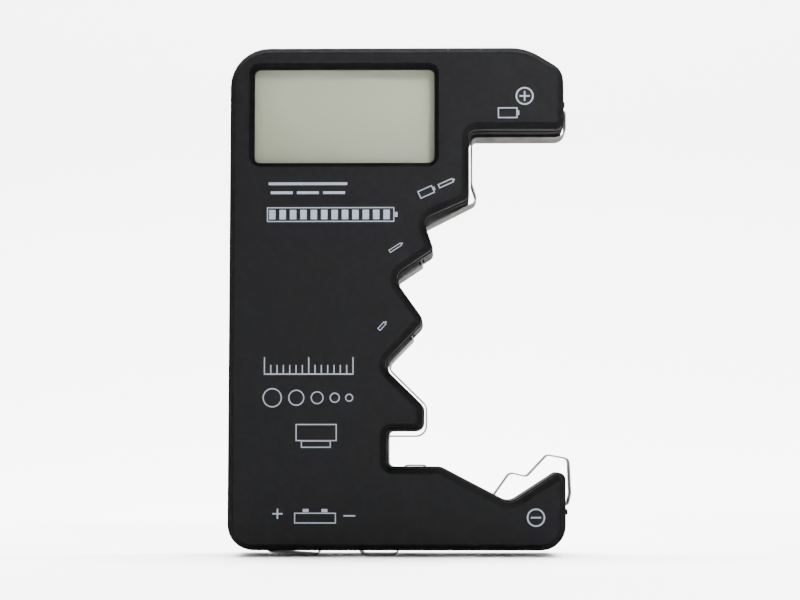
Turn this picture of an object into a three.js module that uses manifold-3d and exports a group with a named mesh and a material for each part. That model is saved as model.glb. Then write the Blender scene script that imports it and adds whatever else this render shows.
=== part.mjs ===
// Pocket battery tester: stepped jaw for round cells, slot for button cells, 9 V contacts underneath.
// Millimetres. X to the right, Y to the back, Z up. The outline lies in X and Z, its depth along Y.
import * as THREE from 'three';
import * as BufferGeometryUtils from 'three/addons/utils/BufferGeometryUtils.js';
import Module from 'manifold-3d';

const wasm = await Module();
wasm.setup();

// Case
const bodyHalfWidth = 31.8;
const bodyHeight = 95.3;
const bodyDepth = 16.5;
const wall = 1.8;
const edgeRound = 1.1; // rounding of the front and rear edges
const frontFace = -bodyDepth / 2;
const backFace = bodyDepth / 2;
const partingY = -4.85; // the shells meet here
const seamGap = 0.3;
const fuse = 0.2; // how far added solids reach into the wall that carries them
// Lip of the front shell inside the seam
const tongue = { from: 2.1, to: 2.9, reach: 1.25, root: 1.6, rootInset: 1.4 };

// Jaw: each step is named for the cell that it measures
const dStepZ = 79.3;
const throatX = 13.75;
const slotTopZ = 22.45;
const slotFloorZ = 15.7;
const slotBackX = -1.7;

// Outline corners, clockwise from the top left: [x, z, corner radius]
const outline = [
  [-bodyHalfWidth, bodyHeight, 7.6],
  [24.6, bodyHeight, 10.5],
  [bodyHalfWidth, 90.9, 3.8],
  [bodyHalfWidth, dStepZ, 1.6], // D tip
  [throatX, dStepZ, 1.4],
  [throatX, 66.15, 1.5], // C and AA corner
  [5.05, 62.4, 1.9],
  [7.05, 56.65, 1.15], // AAA tip
  [-0.65, 51.5, 2.2],
  [5.35, 43.1, 1.75], // N tip
  [-2.7, 34.75, 1.9],
  [5.1, 27.1, 1.5], // tooth
  [5.1, slotTopZ, 1.7],
  [slotBackX, slotTopZ, 0.85],
  [slotBackX, slotFloorZ, 1.0],
  [8.3, slotFloorZ, 2.3],
  [21.3, 8.9, 2.65], // valley of the lower arm
  [bodyHalfWidth, 15.7, 1.3],
  [bodyHalfWidth, 0, 4.7],
  [-bodyHalfWidth, 0, 4.95],
];

// Display window in the front shell
const windowHole = { left: -27.05, right: 7.15, bottom: 73.1, top: 91.15, corner: 1.2, cut: 3 };
const windowFlare = 0.85;
const faceOverlap = 0.01; // the cut starts this far in front of the face
const windowRim = { margin: 2.2, depth: 0.6 };

// Sheet-metal contacts
const sheet = 0.3;
const stripWidth = 5.5;
const stripY = 0.6; // middle of every contact's width
const stripNear = stripY - stripWidth / 2;
const stripFar = stripY + stripWidth / 2;
const slotClearance = 0.35;

// Centre lines of the contacts, from end to end: [x, z, bend radius]
const largeCellLine = [
  [26, 84, 0],
  [32.3, 84, 0.7],
  [32.3, 78.75, 1.9],
  [14.25, 78.75, 1],
  [14.25, 69.8, 2.2],
  [15.35, 66.45, 1.4],
  [-0.4, 58.5, 0],
];
const aaaLine = [
  [4, 57.6, 0],
  [4.85, 54.17, 0.5],
  [-3.8, 48.4, 0],
];
const nLine = [
  [1.9, 43.6, 0],
  [3.05, 39.9, 0.5],
  [-1.98, 34.68, 1.4],
  [5.55, 27.29, 1.95],
  [5.55, 21.5, 2],
  [-6, 21.5, 0],
];
const negativeLine = [
  [16, 7.05, 0],
  [21.4, 14.55, 1],
  [24.6, 13.8, 1],
  [28.5, 17.95, 1],
  [32.6, 17.2, 1],
  [32.9, 10.65, 1],
  [32.4, 8.5, 0.6],
  [28.2, 8.5, 0],
];
const buttonLine = [
  [-4, 12.8, 0],
  [-0.6, 12.8, 0.8],
  [1.6, 15.95, 0.8],
  [5.2, 15.95, 0.8],
  [6.7, 14.5, 0],
];
const nineVoltLongLine = [
  [-28.4, 2.9, 0],
  [-26.2, 2.9, 0.8],
  [-24.3, -0.35, 0.9],
  [-15.1, -0.9, 0.8],
  [-13.8, 1.8, 0],
];
const nineVoltShortLine = [
  [4.2, 2.9, 0],
  [1.9, 2.9, 0.8],
  [-0.2, -0.9, 1.2],
  [-6.6, -0.9, 1.2],
  [-8.2, 2.2, 0],
];

// Openings of the rear shell for the contacts: [x0, x1, z0, z1]
const springSlot = [16.9, 20.1, 5, 12.5];
const springAnchorSlot = [29.2, 33, 7.85, 9.15];
const buttonOpening = [-0.95, 7.4, 13, 17];
const nineVoltOpenings = [[-26.5, -12.7, -1, 2.4], [-9.4, 2.1, -1, 2.4]];

// Stretches of the strips that pass through the wall: [[x, z], [x, z]]
const stripSlots = [
  [[28, 84], [32.5, 84]],
  [[7.2, 62.34], [1.5, 59.46]],
  [[4.15, 57], [4.85, 54.17]],
  [[1.6, 52], [-3, 48.94]],
  [[2.15, 42.8], [3.05, 39.9]],
  [[-0.6, 21.5], [-4.5, 21.5]],
];

// Lips beside the strip ends on the right-hand edge: [z0, z1, how far each stands out]
const lips = [[84.6, 85.7, 0.4], [6.6, 7.7, 0.55]];
const lipRoot = 0.5;

// Fastening
const casePosts = [[20.5, 87], [-25.5, 56], [-25.5, 12], [12, 6.2]];
const caseScrew = {
  shank: 0.95, head: 2.1, headHeight: 1.5, headSeat: 5.5,
  tip: -4, taper: 1.2, crown: 0.4, dome: 0.5,
};
const postRadius = 2.3;
const postEnd = 1;
const counterbore = 2.45;
const bossWall = 0.9;
const boardPosts = [[-24.8, 67.6], [3.4, 67.6]];
const boardScrew = { shank: 0.65, head: 1.6, headHeight: 1, tip: -5, taper: 0.6 };
const boardPostRadius = 1.7;
const screwGap = 0.3;
const boreRoom = 0.5; // bore beyond a board screw's tip

// Display stack and board, as depths along Y
const lens = { near: -5.7, far: -5.1 };
const frontGlass = { near: -4.85, far: -3.85 };
const rearGlass = { near: -3.7, far: -2.7 };
const reflector = { near: -2.55, far: -2.25 };
const board = { near: -0.25, far: 1.35 };
const glassArea = { left: -28, right: 8.1, bottom: 72, top: 91.8 };
const glassLedge = 1.6; // the front glass runs further down, for its contacts
const partGap = 0.3;
const glassRoom = 0.2;
const lensCorner = 1.2;
const lensLift = 0.1;
const elastomer = { inset: 1, bottom: 1.5, top: 0.3, gap: 0.1 };
const frameWall = 0.4;
const frameCorner = 1;
const pocketCorner = 0.3;

const finishes = {
  shell: { color: 0x232325, roughness: 0.62, metalness: 0 },
  lens: { color: 0xc8ccb8, roughness: 0.1, metalness: 0 },
  display: { color: 0xa7aa99, roughness: 0.35, metalness: 0 },
  reflector: { color: 0xb6b8ae, roughness: 0.3, metalness: 0.8 },
  frame: { color: 0xd6d4cc, roughness: 0.5, metalness: 0 },
  elastomer: { color: 0xe9b7ab, roughness: 0.7, metalness: 0 },
  board: { color: 0x1f5b34, roughness: 0.5, metalness: 0 },
  resin: { color: 0x0c0c0d, roughness: 0.35, metalness: 0 },
  ferrite: { color: 0x2c2d30, roughness: 0.6, metalness: 0.2 },
  can: { color: 0x9da1a6, roughness: 0.3, metalness: 0.9 },
  ceramic: { color: 0x1b1b1f, roughness: 0.4, metalness: 0 },
  contact: { color: 0xa4a6a6, roughness: 0.3, metalness: 1 },
  screw: { color: 0x8e9094, roughness: 0.35, metalness: 1 },
  redLead: { color: 0xa31d1b, roughness: 0.5, metalness: 0 },
  blackLead: { color: 0x19191b, roughness: 0.5, metalness: 0 },
};

const tester = new THREE.Group();

function addPiece(name, geometry, finish) {
  const piece = new THREE.Mesh(geometry, new THREE.MeshStandardMaterial(finish));
  piece.name = name;
  tester.add(piece);
}

// Moves each corner sideways by a distance to the left of the direction of travel.
function offsetCorners(corners, distance, closed) {
  const last = corners.length - 1;
  const points = corners.map(([x, z]) => new THREE.Vector2(x, z));
  return points.map((point, i) => {
    const before = i > 0 || !closed ? points[Math.max(i - 1, 0)] : points[last];
    const after = i < last || !closed ? points[Math.min(i + 1, last)] : points[0];
    let inward = point.clone().sub(before);
    let outward = after.clone().sub(point);
    if (inward.length() === 0) {
      inward = outward.clone();
    }
    if (outward.length() === 0) {
      outward = inward.clone();
    }
    inward.normalize();
    outward.normalize();
    const turn = inward.cross(outward);
    const normal = new THREE.Vector2(-inward.y - outward.y, inward.x + outward.x);
    const moved = normal.multiplyScalar(distance / (1 + inward.dot(outward))).add(point);
    const radius = corners[i][2];
    const newRadius = radius === 0 ? 0 : Math.max(radius - Math.sign(turn) * distance, 0.05);
    return [moved.x, moved.y, newRadius];
  });
}

// Closed shape with an arc of its own radius at each corner.
function roundedShape(corners) {
  const shape = new THREE.Shape();
  corners.forEach(([x, z, radius], i) => {
    const corner = new THREE.Vector2(x, z);
    const [x0, z0] = corners.at(i - 1);
    const [x1, z1] = corners[(i + 1) % corners.length];
    const toBefore = new THREE.Vector2(x0, z0).sub(corner).normalize();
    const toAfter = new THREE.Vector2(x1, z1).sub(corner).normalize();
    const half = Math.acos(THREE.MathUtils.clamp(toBefore.dot(toAfter), -1, 1)) / 2;
    if (radius === 0) {
      if (i === 0) {
        shape.moveTo(x, z);
      } else {
        shape.lineTo(x, z);
      }
      return;
    }
    const reach = radius / Math.tan(half);
    const start = toBefore.clone().multiplyScalar(reach).add(corner);
    const end = toAfter.clone().multiplyScalar(reach).add(corner);
    const centre = toBefore.clone().add(toAfter).normalize();
    centre.multiplyScalar(radius / Math.sin(half)).add(corner);
    const startAngle = start.sub(centre).angle();
    const endAngle = end.sub(centre).angle();
    const clockwise = toBefore.cross(toAfter) > 0;
    shape.absarc(centre.x, centre.y, radius, startAngle, endAngle, clockwise);
  });
  shape.closePath();
  return shape;
}

function bodyShape(inset) {
  return roundedShape(offsetCorners(outline, -inset, true));
}

function rectangle(left, right, bottom, top, corner) {
  return roundedShape([
    [left, top, corner],
    [right, top, corner],
    [right, bottom, corner],
    [left, bottom, corner],
  ]);
}

// Extrudes a shape of the X-Z plane between two depths along Y.
function slab(shape, near, far, curveSegments = 2) {
  const options = { depth: far - near, bevelEnabled: false, curveSegments };
  const geometry = new THREE.ExtrudeGeometry(shape, options);
  geometry.rotateX(Math.PI / 2);
  geometry.translate(0, far, 0);
  return geometry;
}

function block(left, right, bottom, top, near, far) {
  const geometry = new THREE.BoxGeometry(right - left, far - near, top - bottom);
  geometry.translate((left + right) / 2, (near + far) / 2, (bottom + top) / 2);
  return geometry;
}

// Turned piece on an axis along Y: profile points are [radius, depth].
function turned(profile, x, z, segments = 12) {
  const points = profile.map(([radius, depth]) => new THREE.Vector2(radius, depth));
  const geometry = new THREE.LatheGeometry(points, segments);
  geometry.translate(x, 0, z);
  return geometry;
}

function rod(radius, x, z, near, far, segments = 12) {
  return turned([[0, near], [radius, near], [radius, far], [0, far]], x, z, segments);
}

function toSolid(geometry) {
  const bare = geometry.clone();
  bare.deleteAttribute('normal');
  bare.deleteAttribute('uv');
  const merged = BufferGeometryUtils.mergeVertices(bare, 1e-4);
  return new wasm.Manifold(new wasm.Mesh({
    numProp: 3,
    vertProperties: new Float32Array(merged.attributes.position.array),
    triVerts: new Uint32Array(merged.index.array),
  }));
}

function toGeometry(solid) {
  const mesh = solid.getMesh();
  const geometry = new THREE.BufferGeometry();
  geometry.setAttribute('position', new THREE.BufferAttribute(new Float32Array(mesh.vertProperties), 3));
  geometry.setIndex(new THREE.BufferAttribute(new Uint32Array(mesh.triVerts), 1));
  geometry.computeVertexNormals();
  return geometry;
}

function carve(geometry, cutters) {
  const solid = cutters.reduce((left, cutter) => left.subtract(toSolid(cutter)), toSolid(geometry));
  return toGeometry(solid);
}

// Rounded box around the two glasses, larger than them by their clearance and a margin.
function displayBox(margin, corner, near, far) {
  const room = glassRoom + margin;
  const { left, right, bottom, top } = glassArea;
  const shape = rectangle(left - room, right + room, bottom - glassLedge - room, top + room, corner);
  return slab(shape, near, far);
}

// The whole case as one block, with rounded front and rear edges.
function caseBlock() {
  const geometry = new THREE.ExtrudeGeometry(bodyShape(0), {
    depth: bodyDepth - 2 * edgeRound,
    bevelThickness: edgeRound,
    bevelSize: edgeRound,
    bevelOffset: -edgeRound,
    bevelSegments: 2,
    curveSegments: 2,
  });
  geometry.rotateX(Math.PI / 2);
  geometry.translate(0, backFace - edgeRound, 0);
  return geometry;
}

// A straight slot through the wall for one stretch of a contact strip.
function stripSlot(from, to) {
  const along = new THREE.Vector2(to[0] - from[0], to[1] - from[1]);
  const height = sheet + 2 * slotClearance;
  const depth = stripWidth + 2 * slotClearance;
  const geometry = new THREE.BoxGeometry(along.length(), depth, height);
  geometry.rotateY(-along.angle());
  geometry.translate((from[0] + to[0]) / 2, stripY, (from[1] + to[1]) / 2);
  return geometry;
}

function openingBlock([left, right, bottom, top]) {
  return block(left, right, bottom, top, stripNear - slotClearance, stripFar + slotClearance);
}

// A contact bent from sheet: constant thickness along its centre line.
function bentStrip(line) {
  const left = offsetCorners(line, sheet / 2, false);
  const right = offsetCorners(line, -sheet / 2, false).reverse();
  return slab(roundedShape([...left, ...right]), stripNear, stripFar);
}

const beyond = 2 * bodyHeight; // larger than the case on every side
const postRoot = frontFace + wall - fuse;

function frontShell() {
  const far = partingY - seamGap / 2;
  let solid = toSolid(caseBlock());
  solid = solid.subtract(toSolid(block(-beyond, beyond, -beyond, beyond, far, beyond)));
  solid = solid.subtract(toSolid(slab(bodyShape(wall), frontFace + wall, far + 1)));
  const outer = toSolid(slab(bodyShape(tongue.from), far - tongue.root, far + tongue.reach));
  const root = toSolid(slab(bodyShape(tongue.rootInset), far - tongue.root, far - tongue.root / 2));
  const inner = toSolid(slab(bodyShape(tongue.to), far - 2 * tongue.root, far + 2 * tongue.reach));
  solid = solid.add(outer.add(root).subtract(inner));
  const rim = windowRim.margin;
  const hole = windowHole;
  solid = solid.add(toSolid(block(
    hole.left - rim, hole.right + rim, hole.bottom - rim, hole.top + rim,
    postRoot, frontFace + wall + windowRim.depth,
  )));
  for (const [x, z] of casePosts) {
    solid = solid.add(toSolid(rod(postRadius, x, z, postRoot, postEnd)));
    solid = solid.subtract(toSolid(rod(caseScrew.shank + screwGap, x, z, caseScrew.tip - 1, postEnd + 1)));
  }
  for (const [x, z] of boardPosts) {
    solid = solid.add(toSolid(rod(boardPostRadius, x, z, postRoot, board.near - partGap)));
    const bore = rod(boardScrew.shank + screwGap, x, z, boardScrew.tip - boreRoom, board.near);
    solid = solid.subtract(toSolid(bore));
  }
  const opening = new THREE.ExtrudeGeometry(
    rectangle(hole.left, hole.right, hole.bottom, hole.top, hole.corner),
    {
      depth: hole.cut,
      bevelThickness: windowFlare,
      bevelSize: -windowFlare,
      bevelOffset: windowFlare,
      bevelSegments: 1,
      curveSegments: 2,
    },
  );
  opening.rotateX(Math.PI / 2);
  opening.translate(0, frontFace + windowFlare + hole.cut - faceOverlap, 0);
  const bay = displayBox(frameWall + partGap, frameCorner, frontFace + wall + windowRim.depth, 0);
  return toGeometry(solid.subtract(toSolid(opening)).subtract(toSolid(bay)));
}

function rearShell() {
  const near = partingY + seamGap / 2;
  let solid = toSolid(caseBlock());
  solid = solid.subtract(toSolid(block(-beyond, beyond, -beyond, beyond, -beyond, near)));
  solid = solid.subtract(toSolid(slab(bodyShape(wall), near - 1, backFace - wall)));
  const edge = bodyHalfWidth;
  for (const [bottom, top, reach] of lips) {
    solid = solid.add(toSolid(block(edge - lipRoot, edge + reach, bottom, top, stripNear, stripFar)));
  }
  for (const [x, z] of casePosts) {
    const boss = rod(counterbore + bossWall, x, z, postEnd + partGap, backFace - wall + fuse);
    solid = solid.add(toSolid(boss));
    const bore = caseScrew.shank + screwGap;
    solid = solid.subtract(toSolid(rod(bore, x, z, 0, caseScrew.headSeat)));
    solid = solid.subtract(toSolid(rod(counterbore, x, z, caseScrew.headSeat - partGap, backFace + 1)));
  }
  const slots = [
    ...stripSlots.map(([from, to]) => stripSlot(from, to)),
    openingBlock(springSlot),
    openingBlock(springAnchorSlot),
    openingBlock(buttonOpening),
    ...nineVoltOpenings.map(openingBlock),
    displayBox(frameWall + partGap, frameCorner, partingY - 1, board.near),
  ];
  for (const slot of slots) {
    solid = solid.subtract(toSolid(slot));
  }
  return toGeometry(solid);
}

addPiece('front_shell', frontShell(), finishes.shell);
addPiece('rear_shell', rearShell(), finishes.shell);

// Display
const glass = glassArea;
addPiece(
  'display_lens',
  slab(
    rectangle(
      glass.left - glassRoom, glass.right + glassRoom,
      glass.bottom + lensLift, glass.top + glassRoom, lensCorner,
    ),
    lens.near, lens.far,
  ),
  finishes.lens,
);
addPiece(
  'display_front_glass',
  block(glass.left, glass.right, glass.bottom - glassLedge, glass.top, frontGlass.near, frontGlass.far),
  finishes.display,
);
addPiece(
  'display_rear_glass',
  block(glass.left, glass.right, glass.bottom, glass.top, rearGlass.near, rearGlass.far),
  finishes.display,
);
addPiece(
  'display_reflector',
  block(
    glass.left + partGap, glass.right - partGap, glass.bottom + partGap, glass.top - partGap,
    reflector.near, reflector.far,
  ),
  finishes.reflector,
);
addPiece(
  'display_frame',
  carve(
    displayBox(frameWall, frameCorner, frontGlass.near, board.near - partGap),
    [displayBox(0, pocketCorner, frontFace, 0)],
  ),
  finishes.frame,
);
addPiece(
  'display_elastomer',
  block(
    glass.left + elastomer.inset, glass.right - elastomer.inset,
    glass.bottom - elastomer.bottom, glass.bottom - elastomer.top,
    frontGlass.far + elastomer.gap, board.near - elastomer.gap,
  ),
  finishes.elastomer,
);

// Board and the parts on its back
const boardShape = roundedShape([
  [-28, 91.5, 0.8],
  [7.5, 91.5, 0.8],
  [7.5, 65.8, 0.8],
  [-7, 65.8, 0.8],
  [-7, 44, 0.8],
  [-20, 44, 0.8],
  [-20, 65.8, 0.8],
  [-28, 65.8, 0.8],
]);
const boardHoles = boardPosts.map(([x, z]) => {
  return rod(boardScrew.shank + screwGap, x, z, board.near - 1, board.far + 1);
});
addPiece('main_board', carve(slab(boardShape, board.near, board.far, 1), boardHoles), finishes.board);

const onBoard = board.far + partGap;
function standing(profile) {
  return profile.map(([radius, height]) => [radius, onBoard + height]);
}
const chip = { x: -13.5, z: 57, segments: 20 };
const chipProfile = [[0, 0], [4.6, 0], [4.4, 0.6], [3.4, 1.3], [1.8, 1.7], [0, 1.8]];
const inductor = { x: -2, z: 78 };
const inductorProfile = [
  [0, 0], [3.4, 0], [3.4, 0.9], [2.4, 0.9],
  [2.4, 3.2], [3.4, 3.2], [3.4, 4.1], [0, 4.1],
];
const capacitor = { radius: 2.5, height: 4.3, places: [[-22, 84], [-13, 84]] };
const resistor = {
  halfLength: 1.6, halfWidth: 0.8, height: 0.6,
  places: [[-22, 76], [-22, 73], [-13, 76], [-13, 73]],
};
const diode = { left: 1.6, right: 5.6, bottom: 84, top: 86.6, height: 2.2 };

addPiece('tester_chip_resin', turned(standing(chipProfile), chip.x, chip.z, chip.segments), finishes.resin);
addPiece('step_up_inductor', turned(standing(inductorProfile), inductor.x, inductor.z), finishes.ferrite);
capacitor.places.forEach(([x, z], i) => {
  const can = rod(capacitor.radius, x, z, onBoard, onBoard + capacitor.height);
  addPiece(`capacitor_${i + 1}`, can, finishes.can);
});
resistor.places.forEach(([x, z], i) => {
  const { halfLength, halfWidth, height } = resistor;
  const body = block(
    x - halfLength, x + halfLength, z - halfWidth, z + halfWidth,
    onBoard, onBoard + height,
  );
  addPiece(`resistor_${i + 1}`, body, finishes.ceramic);
});
addPiece(
  'blocking_diode',
  block(diode.left, diode.right, diode.bottom, diode.top, onBoard, onBoard + diode.height),
  finishes.ceramic,
);

// Contacts
addPiece('positive_contact_d_c_aa', bentStrip(largeCellLine), finishes.contact);
addPiece('positive_contact_aaa', bentStrip(aaaLine), finishes.contact);
addPiece('positive_contact_n_button', bentStrip(nLine), finishes.contact);
addPiece('negative_spring', bentStrip(negativeLine), finishes.contact);
addPiece('button_cell_leaf', bentStrip(buttonLine), finishes.contact);
addPiece('nine_volt_long_leaf', bentStrip(nineVoltLongLine), finishes.contact);
addPiece('nine_volt_short_leaf', bentStrip(nineVoltShortLine), finishes.contact);

// Leads inside the case, each from a contact to its pad on the back of the board
const leadRadius = 0.55;
function lead(points) {
  const section = new THREE.Shape();
  section.absarc(0, 0, leadRadius, 0, 2 * Math.PI, false);
  const path = new THREE.CatmullRomCurve3(points.map(([x, y, z]) => new THREE.Vector3(x, y, z)));
  return new THREE.ExtrudeGeometry(section, { extrudePath: path, steps: 11, curveSegments: 4 });
}
const padZ = 46.6;
const padY = 2.45;
const { redLead, blackLead } = finishes;
const leads = [
  ['lead_d_c_aa', redLead, [[-1.2, 0, 59], [-4, 2.6, 60.5], [-5.6, 4, 67], [-5.4, 3, 70.4], [-5, padY, 72]]],
  ['lead_aaa', redLead, [[-4.8, 0, 48], [-6.4, 2.4, 47.6], [-8.2, 3, 47], [-9.8, padY, padZ]]],
  ['lead_n_button', redLead, [[-6.9, 0, 21.8], [-9.6, 2.4, 27], [-11, 3.4, 38], [-11.6, padY, padZ]]],
  ['lead_negative', blackLead, [
    [27, 0, 8.2], [22, 3.6, 5.4], [17, 4.8, 8.1], [14, 5, 10.1], [11, 5, 11.3], [6, 5, 12.4], [-7, 5, 12.4],
    [-12.6, 5, 26], [-13.4, 3.6, 40], [-13.4, padY, padZ],
  ]],
  ['lead_button_cell', blackLead, [
    [-5.2, 0, 12.6], [-10, 2.6, 14], [-14.6, 3, 24], [-15.3, 3.4, 38], [-15.2, padY, padZ],
  ]],
  ['lead_nine_volt_long', redLead, [
    [-28.2, 0, 4.4], [-21.5, 2.2, 8], [-19.6, 3.6, 20], [-19, 3.6, 38], [-18.8, padY, padZ],
  ]],
  ['lead_nine_volt_short', blackLead, [
    [5.4, 0, 4], [3.4, 3.6, 7.6], [-9, 3.6, 9], [-16.6, 3.6, 18], [-17.2, 3.6, 38], [-17, padY, padZ],
  ]],
];
for (const [name, finish, points] of leads) {
  addPiece(name, lead(points), finish);
}

// Screws
casePosts.forEach(([x, z], i) => {
  const { shank, head, headHeight, headSeat, tip, taper, crown, dome } = caseScrew;
  const top = headSeat + headHeight;
  const profile = [
    [0, tip], [shank, tip + taper], [shank, headSeat], [head, headSeat],
    [head, top - crown], [head - dome, top], [0, top],
  ];
  addPiece(`case_screw_${i + 1}`, turned(profile, x, z), finishes.screw);
});
boardPosts.forEach(([x, z], i) => {
  const { shank, head, headHeight, tip, taper } = boardScrew;
  const seat = board.far + partGap;
  const top = seat + headHeight;
  const profile = [[0, tip], [shank, tip + taper], [shank, seat], [head, seat], [head, top], [0, top]];
  addPiece(`board_screw_${i + 1}`, turned(profile, x, z), finishes.screw);
});

// The origin is at the middle of the base: the crests of the 9 V leaves are lowest,
// and the spring reaches furthest right.
const bounds = new THREE.Box3().setFromObject(tester);
tester.position.set(-(bounds.min.x + bounds.max.x) / 2, 0, -bounds.min.z);

export default tester;
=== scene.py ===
import math

import bmesh
import bpy
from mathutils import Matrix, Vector


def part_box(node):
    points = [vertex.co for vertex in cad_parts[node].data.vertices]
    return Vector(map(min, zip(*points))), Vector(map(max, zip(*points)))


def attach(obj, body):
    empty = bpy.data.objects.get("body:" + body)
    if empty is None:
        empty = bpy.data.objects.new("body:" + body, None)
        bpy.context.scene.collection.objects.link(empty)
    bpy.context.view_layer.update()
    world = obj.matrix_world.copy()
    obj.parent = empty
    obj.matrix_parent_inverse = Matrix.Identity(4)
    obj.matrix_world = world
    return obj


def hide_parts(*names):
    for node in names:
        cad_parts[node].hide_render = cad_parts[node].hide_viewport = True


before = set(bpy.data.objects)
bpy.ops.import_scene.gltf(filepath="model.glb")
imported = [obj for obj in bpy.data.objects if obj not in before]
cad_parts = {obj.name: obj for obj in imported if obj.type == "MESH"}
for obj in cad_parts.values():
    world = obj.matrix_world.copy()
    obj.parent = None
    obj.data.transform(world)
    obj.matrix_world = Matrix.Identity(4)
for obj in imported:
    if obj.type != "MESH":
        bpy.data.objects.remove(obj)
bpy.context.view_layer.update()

mm = 0.001
flatSlack = 0.02  # a vertex this near the face or the back, in millimetres, belongs to it
seamToRear = 0.15  # the rear shell starts this far behind the seam

# Where the case stands in the frame: its middle, its lower edge, its face and its back
frontLow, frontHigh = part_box("front_shell")
rearLow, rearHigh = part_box("rear_shell")
stripLow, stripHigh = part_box("positive_contact_aaa")
caseX = (frontLow[0] + frontHigh[0]) / 2
caseZ = frontLow[2]
faceY = frontLow[1] / mm
backY = rearHigh[1] / mm
seamY = rearLow[1] / mm - seamToRear
stripY = (stripLow[1] + stripHigh[1]) / 2 / mm  # middle of the contacts' width


def place(x, y, z):
    return Vector((caseX + x * mm, y * mm, caseZ + z * mm))


print("frame loaded: case", round((frontHigh[2] - frontLow[2]) / mm, 1), "mm high, seam at", round(seamY, 2))


class Wire:
    def __init__(self, tree, socket=None):
        self.tree = tree
        self.socket = socket

    def node(self, kind, settings=None, values=None, output=0):
        made = self.tree.nodes.new(kind)
        for key, value in (settings or {}).items():
            if key == "stops":
                ramp = made.color_ramp
                while len(ramp.elements) < len(value):
                    ramp.elements.new(0.5)
                for element, (spot, shade) in zip(ramp.elements, value):
                    element.position = spot
                    element.color = shade if len(shade) == 4 else (*shade, 1)
            else:
                setattr(made, key, value)
        for key, value in (values or {}).items():
            if isinstance(value, Wire):
                self.tree.links.new(value.socket, made.inputs[key])
            else:
                made.inputs[key].default_value = value
        return Wire(self.tree, made.outputs[output] if made.outputs else None)

    def maths(self, operation, first, second=0.0):
        return self.node("ShaderNodeMath", {"operation": operation}, {0: first, 1: second})

    def __add__(self, other):
        return self.maths("ADD", self, other)

    def __radd__(self, other):
        return self.maths("ADD", other, self)

    def __sub__(self, other):
        return self.maths("SUBTRACT", self, other)

    def __rsub__(self, other):
        return self.maths("SUBTRACT", other, self)

    def __mul__(self, other):
        return self.maths("MULTIPLY", self, other)

    def __rmul__(self, other):
        return self.maths("MULTIPLY", other, self)

    def __truediv__(self, other):
        return self.maths("DIVIDE", self, other)

    def __pow__(self, other):
        return self.maths("POWER", self, other)

    def noise(self, where, scale, detail=2.0, roughness=0.5):
        return self.node("ShaderNodeTexNoise", None,
                         {"Vector": where, "Scale": scale, "Detail": detail, "Roughness": roughness})

    def limits(self, low, high, toLow=0.0, toHigh=1.0):
        return self.node("ShaderNodeMapRange", {"clamp": True}, {
            "Value": self, "From Min": low, "From Max": high, "To Min": toLow, "To Max": toHigh})

    def blend(self, first, second):
        return self.node("ShaderNodeMix", {"data_type": "RGBA"}, {"Factor": self, "A": first, "B": second}, 2)

    def stretched(self, factors):
        return self.node("ShaderNodeVectorMath", {"operation": "MULTIPLY"}, {0: self, 1: factors})

    def bump(self, distance, strength=1.0):
        return self.node("ShaderNodeBump", None, {"Height": self, "Distance": distance, "Strength": strength})


def newMaterial(name):
    material = bpy.data.materials.new(name)
    material.use_nodes = True
    tree = material.node_tree
    tree.nodes.clear()
    start = Wire(tree)
    where = start.node("ShaderNodeTexCoord", None, None, 3)
    return material, start, where


def finishMaterial(material, start, values):
    shader = start.node("ShaderNodeBsdfPrincipled", None, values)
    start.node("ShaderNodeOutputMaterial", None, {"Surface": shader})
    return material


shellLook = {
    "dark": (0.0034, 0.0034, 0.0038, 1),
    "light": (0.0041, 0.0041, 0.0045, 1),
    "smooth": (0.0012, 0.0012, 0.0013, 1),  # chamfers and sides, which have no texture, painted near black as shade
    # lighter edge colour: rubbed wear, and at the face edge and the seam also a painted highlight line
    "wornAndSheen": (0.0065, 0.0065, 0.007, 1),
    "wornAndSheenShare": 0.22,
    "grainPerMetre": 5200,
    "grainHeight": 0.010 * mm,
    "roughness": (0.54, 0.62),
    "rubbedPolish": 0.08,
    "sideRoughness": 0.25,
    "gloss": 0.035,
}


def makeShellPlastic():
    material, start, where = newMaterial("mouldedBlackPlastic")
    cloud = start.noise(where, 24, 2, 0.4)
    grain = start.noise(where, shellLook["grainPerMetre"], 3, 0.55)
    pits = start.node("ShaderNodeTexVoronoi", {"feature": "F1"},
                      {"Vector": where, "Scale": shellLook["grainPerMetre"] * 0.55})
    wearAndSheen = start.node("ShaderNodeAttribute", {"attribute_name": "edgeWear"}, None, 2)
    rubAndSheen = wearAndSheen * start.noise(where, 900, 3, 0.6).limits(0.45, 0.62)
    tone = (cloud * 0.35 + grain * 0.65).limits(0.3, 0.7)
    side = start.node("ShaderNodeAttribute", {"attribute_name": "smoothSide"}, None, 2)
    # painted shade: the sides, chamfers and inner walls get a near-black colour for the shade they fall in
    plain = side.blend(tone.blend(shellLook["dark"], shellLook["light"]), shellLook["smooth"])
    # partly painted highlight: the lighter, polished band at the face edge and the seam stands in for a sheen
    # line; elsewhere it is rubbed wear
    colour = rubAndSheen.limits(0, 1, 0, shellLook["wornAndSheenShare"]).blend(plain, shellLook["wornAndSheen"])
    low, high = shellLook["roughness"]
    rough = (cloud * 0.2 + grain * 0.8).limits(0.3, 0.7, low, high)
    rough = rough - rubAndSheen * shellLook["rubbedPolish"] + side * shellLook["sideRoughness"]
    height = grain * 0.6 + pits * 0.4
    return finishMaterial(material, start, {
        "Base Color": colour,
        "Roughness": rough,
        "IOR": 1.5,
        "Specular IOR Level": shellLook["gloss"],
        "Normal": height.bump(shellLook["grainHeight"], 0.6),
    })


inkLook = {
    "base": (0.135, 0.152, 0.186, 1),
    "thin": (0.108, 0.122, 0.150, 1),
    "roughness": (0.42, 0.6),
    "screenHeight": 0.006 * mm,
}


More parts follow.
